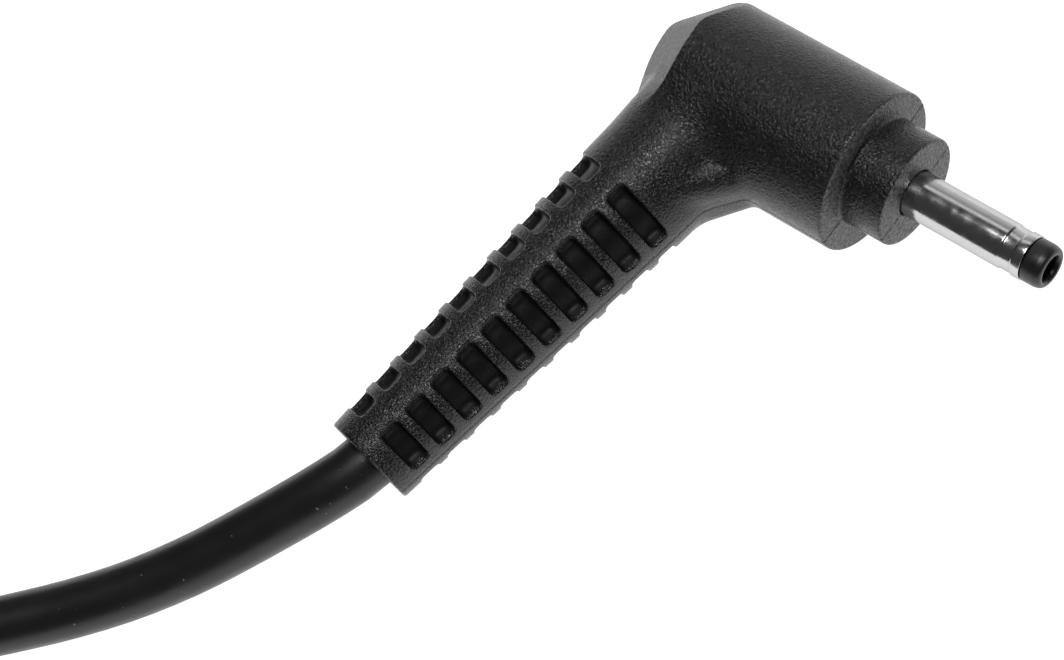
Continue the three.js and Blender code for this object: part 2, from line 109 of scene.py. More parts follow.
# ---- the barrel: its groove and its shoulder, back from the tip ----
SLEEVE_BORE = 1.18
SLEEVE_BACK = 4.2
GROOVE_BACK = 3.0
GROOVE_FRONT = 2.1
GROOVE_DEPTH = 0.07
GROOVE_SLOPE = 0.05
SLEEVE_FRONT = 1.42
TIP_BACK = 5.2
TIP_BORE = 0.84
TIP_STEM = 1.12
TIP_RADIUS = 1.44
TIP_SHOULDER = 1.38

# ---- the brick, as in the CAD part ----
BRICK_LENGTH = 100.0
BRICK_WIDTH = 44.0
BRICK_HEIGHT = 28.0
BRICK_CORNER = 7.0
EDGE_ROUND = 2.4
WALL = 2.2
SEAM_HEIGHT = 14.0
SEAM_GAP = 0.4
FIT_GAP = 0.3
LED_PLACE = (33.0, 14.5)
LIGHT_RADIUS = 1.4
INLET_WIDTH = 22.0
INLET_HEIGHT = 14.0
INLET_DEPTH = 20.0
INLET_Z = 14.1
SOCKET_WIDTH = 16.2
SOCKET_HEIGHT = 8.0
SOCKET_DEPTH = 12.0
PIN_SPACING = 8.6
PIN_RADIUS = 1.2
PIN_PROUD = 9.5
GROMMET_LENGTH = 20.0
GROMMET_NECK = 3.6
GROMMET_FLANGE = 4.8
GROMMET_FACE = 5.2
BRICK_RIBS = 7
RIB_RADIUS = 4.25
RIB_TAPER = 1.25
SEAM_BEVEL = 0.35
PANEL_INSET_TOP = 11.0
PANEL_INSET_BOTTOM = 6.0
PANEL_DEPTH = 0.35
INLET_CORNER = 0.8
CUT_OVERHANG = 1.4
CUT_LIP = 1.5
SHARP_ANGLE = math.radians(32)
TIE_THICKNESS = 0.9
TIE_WIDTH = 13.0
TIE_ANGLE = math.radians(-30)
TIE_BEND = 2.6

# ---- light, as radiance ----
FLOOR_GLOW = 1.1
OVERHEAD_GLOW = 8.5
BEHIND_GLOW = 0.6
ROOM_DIM = 0.03
ROOM_BRIGHT = 0.85
ROOM_FALLOFF = 5.0
FLOOR_HALF_SIZE = 3.0
FLOOR_DROP = 0.0001
SOFTBOX_DISTANCE = 0.5
LIT_POINT = (2, -8, 0)

# ---- the camera, in the plug's frame ----
CAMERA_PLACE = (109.4, -55.4, 218.1)
CAMERA_RIGHT = (0.7608, 0.5790, -0.2931)
CAMERA_UP = (-0.4678, 0.8024, 0.3705)
CAMERA_LENS = 135.3
SENSOR_WIDTH = 36.0

# ---- the output lead ----
CORD_RADIUS = 1.9
COIL_CENTRE = (-61.0, -52.5)
COIL_MEAN_RADIUS = 21.2
COIL_LIFT = 1.2
LAYER_RISE = 3.3
COIL_LAYERS = 4
TURNS_PER_LAYER = 3
POINTS_PER_TURN = 72
COIL_START = 172
COIL_EXIT = 256
STEP_OVER = 0.2
STEP_UP_CLEARANCE = 1.2
ROUTE_SPACING = 1.6

plug_to_world = Matrix.Translation((*PLUG_PLACE, BODY_RADIUS)) @ Matrix.Rotation(PLUG_TURN, 4, "Z")


def in_world(points):
    """Points of the plug's own frame, in mm, as points of the model's frame, in metres."""
    turn = np.array(plug_to_world)
    return (np.asarray(points, float) @ turn[:3, :3].T + turn[:3, 3]) * MM


# ---------------------------------------------------------------- camera, floor and light


def add_camera():
    """A camera that looks down on the plug from in front, rolled so that the lead leaves at the left."""
    right = Vector(CAMERA_RIGHT)
    back = right.cross(Vector(CAMERA_UP)).normalized()
    up = back.cross(right).normalized()
    right.normalize()
    pose = Matrix((right, up, back)).transposed().to_4x4()
    pose.translation = Vector(CAMERA_PLACE)
    world = plug_to_world @ pose
    world.translation *= MM
    data = bpy.data.cameras.new("camera")
    data.lens = CAMERA_LENS
    data.sensor_width = SENSOR_WIDTH
    data.clip_start = 0.01
    data.clip_end = 10.0
    camera = bpy.data.objects.new("camera", data)
    camera.matrix_world = world
    bpy.context.collection.objects.link(camera)
    bpy.context.scene.camera = camera


def add_floor():
    """A wide plain floor, just below the model's own."""
    mesh = bpy.data.meshes.new("floor")
    half = FLOOR_HALF_SIZE
    corners = [(-half, -half, 0), (half, -half, 0), (half, half, 0), (-half, half, 0)]
    mesh.from_pydata(corners, [], [(0, 1, 2, 3)])
    floor = bpy.data.objects.new("floor", mesh)
    floor.location.z = -FLOOR_DROP
    bpy.context.collection.objects.link(floor)
    mesh.materials.append(floor_material())


def floor_material():
    """A pale surface that glows a little, so that it stays even and shadows stay faint."""
    material = bpy.data.materials.new("floor_white")
    material.use_nodes = True
    shader = material.node_tree.nodes["Principled BSDF"]
    shader.inputs["Base Color"].default_value = (0.3, 0.3, 0.3, 1)
    shader.inputs["Roughness"].default_value = 0.9
    shader.inputs["Emission Color"].default_value = (1, 1, 1, 1)
    shader.inputs["Emission Strength"].default_value = FLOOR_GLOW
    return material


def towards(azimuth, elevation):
    """The unit direction at these angles, in degrees."""
    a, e = math.radians(azimuth), math.radians(elevation)
    return Vector((math.cos(e) * math.cos(a), math.cos(e) * math.sin(a), math.sin(e)))


def add_softbox(name, target, azimuth, elevation, size, brightness):
    """A rectangular light that looks equally bright whatever its size.

    Its radiance is a quarter of its power over its area.
    """
    place = target + SOFTBOX_DISTANCE * towards(azimuth, elevation)
    data = bpy.data.lights.new(name, "AREA")
    data.shape = "RECTANGLE"
    data.size, data.size_y = size
    data.energy = 4 * brightness * size[0] * size[1]
    light = bpy.data.objects.new(name, data)
    light.location = place
    light.rotation_euler = (target - place).to_track_quat("-Z", "Y").to_euler()
    bpy.context.collection.objects.link(light)


def add_lights():
    """Two softboxes over a white table, in a room that is dim but for its far side."""
    plug = Vector(in_world([LIT_POINT])[0])
    add_softbox("light_overhead", plug, 20, 85, (0.20, 0.20), OVERHEAD_GLOW)
    add_softbox("light_behind", plug, 88, 46, (0.30, 0.12), BEHIND_GLOW)
    world = bpy.data.worlds.new("studio")
    world.use_nodes = True
    tree = world.node_tree
    direction = tree.nodes.new("ShaderNodeTexCoord")
    split = tree.nodes.new("ShaderNodeSeparateXYZ")
    facing = tree.nodes.new("ShaderNodeMath")
    facing.operation = "MAXIMUM"
    falloff = tree.nodes.new("ShaderNodeMath")
    falloff.operation = "POWER"
    falloff.inputs[1].default_value = ROOM_FALLOFF
    level = tree.nodes.new("ShaderNodeMath")
    level.operation = "MULTIPLY_ADD"
    level.inputs[1].default_value = ROOM_BRIGHT
    level.inputs[2].default_value = ROOM_DIM
    tree.links.new(direction.outputs["Generated"], split.inputs[0])
    tree.links.new(split.outputs["Y"], facing.inputs[0])
    tree.links.new(facing.outputs[0], falloff.inputs[0])
    tree.links.new(falloff.outputs[0], level.inputs[0])
    tree.links.new(level.outputs[0], tree.nodes["Background"].inputs["Strength"])
    tree.nodes["Background"].inputs["Color"].default_value = (1, 1, 1, 1)
    bpy.context.scene.world = world
    bpy.context.scene.view_settings.view_transform = "Standard"


# ---------------------------------------------------------------- materials


class Shader:
    """A Principled material with short helpers for its nodes."""

    def __init__(self, name, colour, roughness, metallic=0.0, specular=0.5):
        self.material = bpy.data.materials.new(name)
        self.material.use_nodes = True
        self.tree = self.material.node_tree
        self.bsdf = self.tree.nodes["Principled BSDF"]
        self.bsdf.inputs["Base Color"].default_value = (*colour, 1)
        self.bsdf.inputs["Roughness"].default_value = roughness
        self.bsdf.inputs["Metallic"].default_value = metallic
        self.bsdf.inputs["Specular IOR Level"].default_value = specular
        self.place = self.add("ShaderNodeTexCoord").outputs["Object"]

    def add(self, kind, **inputs):
        node = self.tree.nodes.new(kind)
        for key, value in inputs.items():
            node.inputs[key.replace("_", " ")].default_value = value
        return node

    def link(self, out, into):
        self.tree.links.new(out, into)
        return into

    def noise(self, scale, detail=4.0, roughness=0.5, distortion=0.0, stretch=None):
        node = self.add("ShaderNodeTexNoise", Scale=scale, Detail=detail, Roughness=roughness)
        node.inputs["Distortion"].default_value = distortion
        place = self.place
        if stretch:
            mapping = self.add("ShaderNodeMapping", Scale=stretch)
            self.link(place, mapping.inputs["Vector"])
            place = mapping.outputs["Vector"]
        self.link(place, node.inputs["Vector"])
        return node.outputs["Fac"]

    def ramp(self, value, low, high, out_low=0.0, out_high=1.0):
        node = self.add("ShaderNodeMapRange")
        for key, number in (("From Min", low), ("From Max", high), ("To Min", out_low), ("To Max", out_high)):
            node.inputs[key].default_value = number
        self.link(value, node.inputs["Value"])
        return node.outputs["Result"]

    def math(self, operation, a, b):
        node = self.add("ShaderNodeMath")
        node.operation = operation
        for socket, value in zip(node.inputs, (a, b)):
            if isinstance(value, (int, float)):
                socket.default_value = value
            else:
                self.link(value, socket)
        return node.outputs[0]

    def off_parting_plane(self, half_width=0.00003):
        """0 on the plug's parting plane, and 1 beyond about that distance on either side of it."""
        split = self.add("ShaderNodeSeparateXYZ")
        self.link(self.place, split.inputs[0])
        off = self.math("ABSOLUTE", self.math("SUBTRACT", split.outputs["Z"], BODY_RADIUS * MM), 0.0)
        return self.ramp(off, half_width * 0.6, half_width * 1.4)

    def tint(self, factor, low, high):
        node = self.add("ShaderNodeMix")
        node.data_type = "RGBA"
        self.link(factor, node.inputs["Factor"])
        node.inputs["A"].default_value = (*low, 1)
        node.inputs["B"].default_value = (*high, 1)
        self.link(node.outputs["Result"], self.bsdf.inputs["Base Color"])

    def bump(self, height, distance, strength=1.0):
        node = self.add("ShaderNodeBump", Strength=strength, Distance=distance)
        self.link(height, node.inputs["Height"])
        self.link(node.outputs["Normal"], self.bsdf.inputs["Normal"])

    def rough(self, value):
        self.link(value, self.bsdf.inputs["Roughness"])


def overmould_material():
    """Black PVC with a fine wrinkled mould grain and a dark line at the parting plane."""
    s = Shader("overmould_grain", (0.010, 0.010, 0.010), 0.30, specular=0.5)
    wrinkle = s.noise(6300, detail=2.0, roughness=0.5, distortion=0.5)
    s.bump(s.ramp(wrinkle, 0.36, 0.64), 0.00003, 1.0)
    s.rough(s.ramp(s.noise(1500, detail=2), 0.3, 0.7, 0.24, 0.31))
    tone = s.ramp(s.noise(7000, detail=2), 0.35, 0.65, 0.45, 1.0)
    s.tint(s.math("MULTIPLY", tone, s.off_parting_plane()), (0.002, 0.002, 0.002), (0.011, 0.011, 0.011))
    return s.material


def lit_end_face_material():
    """The same PVC on the flat end faces and the sloping back, where the mould was only sand-blasted, in a
    lighter copy: its light grey flecks are painted reflection of the white floor on the grain.
    """
    s = Shader("overmould_faces_painted_reflection", (0.02, 0.02, 0.02), 0.42, specular=0.5)
    s.bump(s.ramp(s.noise(5500, detail=2, roughness=0.6), 0.35, 0.65), 0.00003, 1.0)
    grain_and_reflection = s.ramp(s.noise(5500, detail=2), 0.40, 0.60, 0.0, 1.0)
    # Painted reflection: the grain's flecks are tinted up to light grey, as if they caught the white floor;
    # the dark line at the parting plane is the seam.
    s.tint(s.math("MULTIPLY", grain_and_reflection, s.off_parting_plane()), (0.004, 0.004, 0.004), (0.12, 0.12, 0.12))
    return s.material


def shaded_pocket_material():
    """The smoother inside of the strain relief's pockets, in a darker, less glossy copy of the PVC: its
    darker colour is painted shade.
    """
    # Painted shade: the base colour is darker than the skin's, as if the pockets lay in shadow.
    s = Shader("overmould_pockets_painted_shade", (0.006, 0.006, 0.006), 0.5, specular=0.2)
    s.bump(s.noise(4500, detail=3), 0.00002, 0.8)
    s.rough(s.ramp(s.noise(1800, detail=2), 0.3, 0.7, 0.42, 0.58))
    return s.material


def cord_material():
    """Smooth satin PVC jacket with a little handling dust."""
    s = Shader("cord_jacket", (0.011, 0.011, 0.011), 0.36, specular=0.45)
    s.bump(s.noise(900, detail=4, roughness=0.6), 0.00003, 0.25)
    s.rough(s.ramp(s.noise(500, detail=3), 0.3, 0.7, 0.32, 0.42))
    dust = s.ramp(s.noise(2600, detail=1, roughness=0.4), 0.765, 0.80)
    s.tint(dust, (0.011, 0.011, 0.011), (0.16, 0.16, 0.16))
    return s.material


def nickel_material():
    """Nickel plate, bright but faintly uneven."""
    s = Shader("nickel_plate", (0.5, 0.5, 0.5), 0.16, metallic=1.0)
    s.bsdf.inputs["Specular Tint"].default_value = (0.6, 0.6, 0.6, 1)
    s.rough(s.ramp(s.noise(1400, detail=3), 0.3, 0.7, 0.12, 0.24))
    s.bump(s.noise(5000, detail=2), 0.000004, 0.6)
    s.tint(s.noise(900, detail=3), (0.5, 0.5, 0.5), (0.6, 0.6, 0.605))
    return s.material


def insulator_material():
    """The satin plastic at the barrel's tip."""
    s = Shader("tip_plastic", (0.012, 0.012, 0.012), 0.36)
    s.rough(s.ramp(s.noise(2500, detail=3), 0.3, 0.7, 0.3, 0.42))
    s.bump(s.noise(1200, detail=2), 0.00001, 0.3)
    return s.material


def casing_material():
    """The brick's finely grained black plastic."""
    s = Shader("casing_grain", (0.016, 0.016, 0.017), 0.42)
    s.bump(s.ramp(s.noise(3600, detail=2, roughness=0.6), 0.3, 0.7), 0.00003, 0.35)
    s.rough(s.ramp(s.noise(300, detail=3), 0.3, 0.7, 0.43, 0.47))
    s.tint(s.noise(200, detail=3), (0.0155, 0.0155, 0.016), (0.0175, 0.0175, 0.018))
    return s.material


def tie_material():
    """Woven nylon with a dull nap."""
    s = Shader("hook_and_loop", (0.02, 0.02, 0.021), 0.9, specular=0.2)
    warp = s.noise(3000, detail=3, stretch=(1, 1, 3))
    weft = s.noise(2400, detail=2, stretch=(3, 1, 1))
    s.bump(s.math("MULTIPLY", warp, weft), 0.0003, 0.8)
    s.tint(s.noise(1500), (0.012, 0.012, 0.012), (0.04, 0.04, 0.042))
    return s.material


def plain_material(name, colour, roughness, metallic=0.0):
    """A finish for a piece inside the housings, with slight colour and gloss variation."""
    s = Shader(name, colour, roughness, metallic)
    s.rough(s.ramp(s.noise(400, detail=3), 0.3, 0.7, roughness * 0.85, min(1.0, roughness * 1.15)))
    s.tint(s.noise(250, detail=3), [c * 0.9 for c in colour], [min(1.0, c * 1.1) for c in colour])
    return s.material


# ---------------------------------------------------------------- distance fields and meshing


def smooth_min(a, b, k):
    """The lesser of two fields, blended where they are within about k of each other."""
    blend = np.clip(0.5 + 0.5 * (b - a) / k, 0.0, 1.0)
    return b * (1 - blend) + a * blend - k * blend * (1 - blend)


def smooth_max(a, b, k):
    """The greater of two fields, blended in the same way."""
    return -smooth_min(-a, -b, k)


def relief_axes(x, y):
    """The distances along the strain relief's axis, and across it in the parting plane."""
    s = -math.sin(RELIEF_LEAN) * x - math.cos(RELIEF_LEAN) * y
    u = math.cos(RELIEF_LEAN) * x - math.sin(RELIEF_LEAN) * y
    return s, u


def relief_radius(s):
    """The neck tapers in to the strain relief, which tapers on to its mouth."""
    neck = np.interp(s, NECK_STATIONS, NECK_RADII)
    t = (s - RELIEF_START) / (RELIEF_END - RELIEF_START)
    relief = RELIEF_START_RADIUS + t * (RELIEF_END_RADIUS - RELIEF_START_RADIUS)
    return np.where(s < RELIEF_START, neck, relief)


def slot_pockets(s, u, z):
    """Negative inside the strain relief's pockets: four rows, pulled straight up and down, round the core."""
    centre = SLOT_FIRST + SLOT_WIDTH / 2
    index = np.clip(np.round((s - centre) / SLOT_PITCH), 0, SLOT_COUNT - 1)
    along = np.abs(s - centre - index * SLOT_PITCH) - SLOT_WIDTH / 2
    core = relief_radius(s) - CORE_DEPTH - np.hypot(u, z)
    pocket = smooth_max(along, SLOT_INNER - np.abs(u), POCKET_ROUND)
    pocket = smooth_max(pocket, SLOT_FLOOR - np.abs(z), POCKET_ROUND)
    return smooth_max(pocket, core, POCKET_CORE_ROUND)


def line_at(line, y):
    """The x at this y on the line whose normal and distance from the origin are given."""
    return (line[2] - line[1] * y) / line[0]


def rear_roof(x, y, z):
    """The sloping faces behind the body, which rise from its outline at the parting plane."""
    outline = smooth_max(line_at(REAR_CORNER, y), BODY_REAR, REAR_ROUND)
    outline = smooth_max(outline, line_at(REAR_LOWER, y), REAR_ROUND)
    slope = np.interp(y, (-2.5, 2.5), ROOF_SLOPES)
    return (np.abs(z) - slope * (x - outline)) / np.hypot(slope, 1)


def corner_web(x, y, z, u):
    """The flat-topped web that fills the inner corner between the neck and the body."""
    beyond = WEB_NORMAL[0] * x + WEB_NORMAL[1] * y - WEB_REACH
    along = WEB_FALL_ALONG[0] * (x - WEB_ORIGIN[0]) + WEB_FALL_ALONG[1] * (y - WEB_ORIGIN[1])
    top = WEB_THICKNESS - WEB_FALL * along
    web = smooth_max(beyond, np.abs(z) - top, WEB_EDGE_ROUND)
    return np.maximum(web, np.maximum(-u, y))


def overmould_field(p):
    """Signed distance, in mm, to the plug's overmould at points p in the plug's frame."""
    x, y, z = p[..., 0], p[..., 1], p[..., 2]
    s, u = relief_axes(x, y)
    around_relief = np.hypot(u, z)

    body = smooth_max(np.hypot(y + BODY_SAG, z) - BODY_RADIUS, x - BODY_FRONT, BODY_EDGE_ROUND)
    far_edge = np.clip((y - 3.0) / 2.4, 0.0, 1.0)
    body = smooth_max(body, rear_roof(x, y, z), 0.06 + 0.5 * far_edge)
    relief = smooth_max(around_relief - relief_radius(s), s - RELIEF_END, FRONT_EDGE_ROUND)
    relief = smooth_max(relief, -1.5 - s, 1.0)
    inner_corner = np.interp(y, (-3.5, 0.5), (1.0, 0.0)) * np.interp(u, (-4.0, -1.0), (0.0, 1.0))
    shape = smooth_min(body, relief, 0.4 + 0.6 * inner_corner)
    shape = smooth_min(shape, corner_web(x, y, z, u), WEB_ROUND)

    nose = smooth_max(np.hypot(y, z / 0.97) - NOSE_RADIUS, x - NOSE_FRONT, FRONT_EDGE_ROUND)
    shape = smooth_min(shape, np.maximum(nose, 2.0 - x), NOSE_FOOT_ROUND)

    shape = shape + PARTING_DEPTH * np.exp(-((z / PARTING_WIDTH) ** 2))
    shape = smooth_max(shape, -slot_pockets(s, u, z), POCKET_EDGE_ROUND)
    lead_bore = np.maximum(around_relief - CORD_RADIUS - 0.03, LEAD_BORE_START - s)
    barrel_bore = np.maximum(np.hypot(y, z) - BARREL_BORE_RADIUS, NOSE_FRONT - BARREL_BORE_DEPTH - x)
    shape = smooth_max(shape, -lead_bore, BORE_EDGE_ROUND)
    return smooth_max(shape, -barrel_bore, BORE_EDGE_ROUND)


def surface_net(field, low, high, step):
    """Vertices and quads of a field's zero surface, with one vertex in each grid cell that it crosses."""
    axes = [np.arange(a, b + step, step) for a, b in zip(low, high)]
    grid = np.stack(np.meshgrid(*axes, indexing="ij"), axis=-1)
    value = field(grid).astype(np.float32)
    inside = value < 0
    cells = tuple(n - 1 for n in inside.shape)
    corners = [(i, j, k) for i in (0, 1) for j in (0, 1) for k in (0, 1)]

    def shifted(a, c):
        return a[c[0] : c[0] + cells[0], c[1] : c[1] + cells[1], c[2] : c[2] + cells[2]]

    count = sum(shifted(inside, c).astype(np.int8) for c in corners)
    crossed = (count > 0) & (count < 8)
    cell = np.argwhere(crossed)
    at = {c: shifted(value, c)[crossed] for c in corners}
    total = np.zeros((len(cell), 3))
    hits = np.zeros(len(cell))
    for a in corners:
        for axis in range(3):
            if a[axis]:
                continue
            b = tuple(1 if k == axis else v for k, v in enumerate(a))
            change = (at[a] < 0) != (at[b] < 0)
            t = at[a][change] / (at[a][change] - at[b][change])
            point = np.tile(np.array(a, float), (change.sum(), 1))
            point[:, axis] = t
            total[change] += point
            hits[change] += 1
    vertices = np.array(low) + (cell + total / hits[:, None]) * step

    number = np.full(cells, -1)
    number[crossed] = np.arange(len(cell))
    quads = []
    for axis in range(3):
        first, second = (axis + 1) % 3, (axis + 2) % 3
        here = [slice(1, -1)] * 3
        there = [slice(1, -1)] * 3
        here[axis] = slice(0, -1)
        there[axis] = slice(1, None)
        starts, ends = inside[tuple(here)], inside[tuple(there)]
        edge = np.argwhere(starts != ends)
        flips = starts[starts != ends]
        base = edge.copy()
        base[:, first] += 1
        base[:, second] += 1
        loop = []
        for da, db in ((1, 1), (0, 1), (0, 0), (1, 0)):
            c = base.copy()
            c[:, first] -= da
            c[:, second] -= db
            loop.append(number[c[:, 0], c[:, 1], c[:, 2]])
        quad = np.stack(loop, axis=1)
        quad[~flips] = quad[~flips][:, ::-1]
        quads.append(quad)
    return vertices, np.concatenate(quads)


def settle(field, vertices, step, rounds=3):
    """Moves the vertices onto the field's zero surface, along its gradient."""
    probe = 0.01
    for _ in range(rounds):
        value = field(vertices)
        slope = np.stack(
            [(field(vertices + d) - field(vertices - d)) / (2 * probe) for d in np.eye(3) * probe],
            axis=-1,
        )
        length = np.maximum((slope**2).sum(-1), 0.2)
        move = -value[:, None] * slope / length[:, None]
        far = np.maximum(np.abs(move).max(1, keepdims=True) / (0.5 * step), 1.0)
        vertices = vertices + move / far
    return vertices


def add_mesh(name, vertices, faces, material):
    """A smooth-shaded object from vertices in metres."""
    mesh = bpy.data.meshes.new(name)
    mesh.from_pydata([tuple(v) for v in vertices], [], [tuple(int(i) for i in f) for f in faces])
    mesh.validate()
    mesh.polygons.foreach_set("use_smooth", [True] * len(mesh.polygons))
    mesh.materials.append(material)
    piece = bpy.data.objects.new(name, mesh)
    bpy.context.collection.objects.link(piece)
    return piece


def loop_faces(loops, count, closed):
    """Quads between neighbouring loops of that many points each, and back to the first loop if closed."""
    faces = []
    for i in range(loops if closed else loops - 1):
        j = (i + 1) % loops
        for k in range(count):
            n = (k + 1) % count
            faces.append((i * count + k, i * count + n, j * count + n, j * count + k))
    return faces


def own(piece, slot, *nodes):
    """Fixes a piece to the body in place of CAD nodes, which it hides. The slot argument is not used."""
    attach(piece, "root")
    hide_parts(*nodes)
    return piece


def thin_out(piece, most):
    """Leaves at most that many triangles, keeping the fine ones where the surface bends."""
    count = 2 * len(piece.data.polygons)
    if count <= most:
        return
    modifier = piece.modifiers.new("thin", "DECIMATE")
    modifier.ratio = most / count
    graph = bpy.context.evaluated_depsgraph_get()
    mesh = bpy.data.meshes.new_from_object(piece.evaluated_get(graph))
    piece.modifiers.clear()
    old = piece.data
    piece.data = mesh
    bpy.data.meshes.remove(old)
    mesh.name = piece.name


# ---------------------------------------------------------------- plug


def face_kinds(middles):
    """0 for the grained skin, 1 for the flat ends and the sloping back, which get the lighter copy with
    painted reflection, 2 for the inside of the pockets, which get the darker copy with painted shade.
    """
    x, y, z = middles.T
    s, u = relief_axes(x, y)
    ends = (x > BODY_FRONT - 0.06) & (np.hypot(y, z) > NOSE_RADIUS + 0.12) | (x > NOSE_FRONT - 0.06)
    back = (rear_roof(x, y, z) > -0.03) & (s < 3)
    depth = relief_radius(s) - np.hypot(u, z)
    pocket = (depth > 0.3) & (s > SLOT_FIRST - 0.2) & (s < RELIEF_END - 0.3)
    return np.where(pocket, 2, np.where(ends | back, 1, 0))


def add_overmould(*materials):
    """The plug's whole moulding, with one material for each kind of face."""
    step = FIELD_STEP
    vertices, quads = surface_net(overmould_field, FIELD_LOW, FIELD_HIGH, step)
    vertices = settle(overmould_field, vertices, step)
    piece = add_mesh("plug_overmould_skin", in_world(vertices), quads, materials[0])
    for material in materials[1:]:
        piece.data.materials.append(material)
    kinds = face_kinds(vertices[quads].mean(axis=1))
    piece.data.polygons.foreach_set("material_index", kinds.astype(np.int32))
    thin_out(piece, SKIN_TRIANGLES)
    return own(piece, "overmould", "plug_overmould")


def lathe(name, profile, material, place=in_world, sides=96):
    """A piece turned about its frame's X axis from a closed loop of (radius, distance along) points."""
    rings = np.array(profile, float)
    angles = np.linspace(0, 2 * math.pi, sides, endpoint=False)
    vertices = [(along, r * math.cos(a), r * math.sin(a)) for r, along in rings for a in angles]
    return add_mesh(name, place(vertices), loop_faces(len(rings), sides, closed=True), material)


def rounded(profile, radius=0.06, steps=3):
    """The closed profile with each corner cut back by a small arc."""
    points = [np.array(p, float) for p in profile]
    out = []
    for i, p in enumerate(points):
        a, b = points[i - 1], points[(i + 1) % len(points)]
        to_a, to_b = a - p, b - p
        reach = min(radius, np.linalg.norm(to_a) * 0.45, np.linalg.norm(to_b) * 0.45)
        start = p + to_a / np.linalg.norm(to_a) * reach
        end = p + to_b / np.linalg.norm(to_b) * reach
        for t in np.linspace(0, 1, steps + 1):
            out.append((1 - t) ** 2 * start + 2 * t * (1 - t) * p + t**2 * end)
    return out


def lying_at(y, z):
    """Places a turned piece along the model's X axis, at this y and z."""
    return lambda points: (np.asarray(points, float) + (0, y, z)) * MM


def standing_at(x, y):
    """Places a turned piece upright at this x and y."""
    return lambda points: (np.asarray(points, float)[:, [1, 2, 0]] + (x, y, 0)) * MM


def add_barrel(nickel, plastic):
    """The grooved sleeve and the insulating nose that closes its end."""
    groove = SLEEVE_RADIUS - GROOVE_DEPTH
    profile = [
        (SLEEVE_BORE, SLEEVE_BACK),
        (SLEEVE_RADIUS, SLEEVE_BACK),
        (SLEEVE_RADIUS, TIP_FRONT - GROOVE_BACK - GROOVE_SLOPE),
        (groove, TIP_FRONT - GROOVE_BACK + GROOVE_SLOPE),
        (groove, TIP_FRONT - GROOVE_FRONT - GROOVE_SLOPE),
        (SLEEVE_RADIUS, TIP_FRONT - GROOVE_FRONT + GROOVE_SLOPE),
        (SLEEVE_RADIUS, TIP_FRONT - SLEEVE_FRONT),
        (SLEEVE_BORE, TIP_FRONT - SLEEVE_FRONT),
    ]
    sleeve = lathe("barrel_sleeve_turned", rounded(profile, 0.05), nickel)
    profile = [
        (TIP_BORE, TIP_BACK),
        (TIP_STEM, TIP_BACK),
        (TIP_STEM, TIP_FRONT - TIP_SHOULDER),
        (TIP_RADIUS, TIP_FRONT - TIP_SHOULDER),
        (TIP_RADIUS, TIP_FRONT - 0.45),
        (1.34, TIP_FRONT - 0.12),
        (1.2, TIP_FRONT),
        (0.98, TIP_FRONT),
        (0.9, TIP_FRONT - 0.12),
        (TIP_BORE, TIP_FRONT - 0.3),
    ]
    nose = lathe("tip_insulator_turned", rounded(profile, 0.12, 4), plastic)
    return [own(sleeve, "nickel", "barrel_sleeve"), own(nose, "insulator", "tip_insulator")]


# ---------------------------------------------------------------- output lead

BRICK_LEAD_ROUTE = [
    (-44.5, 0, 14),
    (-60, 0, 14),
    (-70, 0, 14),
    (-75, -0.2, 13.5),
    (-80, -1.8, 12.1),
    (-84.4, -5.2, 9.9),
    (-87.6, -10, 7.4),
    (-89.1, -16, 5.2),
    (-89.4, -23, 3.8),
    (-89.2, -30, 3.2),
    (-88.5, -37.5, 3.1),
]

PLUG_LEAD_ROUTE = [
    (3.4, -64.2, 5.35),
    (0.8, -65.8, 4.9),
    (-1.9, -67.1, 4.2),
    (-4.7, -68.4, 3.5),
    (-7.4, -69.6, 2.9),
    (-10.2, -70.7, 2.4),
    (-13, -71.7, 2.1),
    (-17, -72.9, 1.9),
    (-20.9, -73.9, 1.9),
    (-26, -75.2, 2.6),
    (-31, -76.6, 4.6),
    (-36, -78, 7.4),
    (-41, -79.2, 10.2),
    (-45.5, -79.9, 12.2),
    (-48, -80.1, 12.8),
]


def coil_slots():
    """The (radius, height) of each turn, in winding order: in along one layer and out along the next."""
    pitch = 2 * CORD_RADIUS
    slots = []
    for layer in range(COIL_LAYERS):
        middle = COIL_MEAN_RADIUS + pitch / 4 * (1 if layer % 2 else -1)
        turns = [middle + pitch * (k - (TURNS_PER_LAYER - 1) / 2) for k in range(TURNS_PER_LAYER)]
        if layer % 2 == 0:
            turns.reverse()
        slots += [(r, COIL_LIFT + CORD_RADIUS + layer * LAYER_RISE) for r in turns]
    return slots


def coil_points():
    """Turns anticlockwise from the coil's left side, each stepping over to the next slot at its end."""
    slots = coil_slots()
    start = math.radians(COIL_START)
    part_turn = (COIL_EXIT - COIL_START) / 360
    points = []
    for i in range(len(slots) * POINTS_PER_TURN + int(part_turn * POINTS_PER_TURN)):
        turn, k = divmod(i, POINTS_PER_TURN)
        here = slots[min(turn, len(slots) - 1)]
        after = slots[min(turn + 1, len(slots) - 1)]
        t = np.clip((k / POINTS_PER_TURN - (1 - STEP_OVER)) / STEP_OVER, 0, 1)
        ease = t * t * (3 - 2 * t)
        radius = here[0] + (after[0] - here[0]) * ease
        height = here[1] + (after[1] - here[1]) * ease
        if here[0] < COIL_MEAN_RADIUS - 1 and after[1] > here[1]:
            radius -= STEP_UP_CLEARANCE * math.sin(math.pi * ease)
        angle = start + 2 * math.pi * i / POINTS_PER_TURN
        x = COIL_CENTRE[0] + radius * math.cos(angle)
        y = COIL_CENTRE[1] + radius * math.sin(angle)
        points.append((x, y, height))
    return points


def jacket_inside_plug():
    """Where the jacket lies in the strain relief, from its inner end out to the mouth."""
    lean = (math.sin(RELIEF_LEAN), math.cos(RELIEF_LEAN))
    inside = [(-lean[0] * s, -lean[1] * s, 0) for s in (8.2, 12, 17, 22, 27, RELIEF_END - 2)]
    return [tuple(p / MM) for p in in_world(inside)]


def between(low, high, t, a, b):
    """The mix of a and b at t, where a belongs to low and b to high."""
    return ((high - t) * a + (t - low) * b) / (high - low)


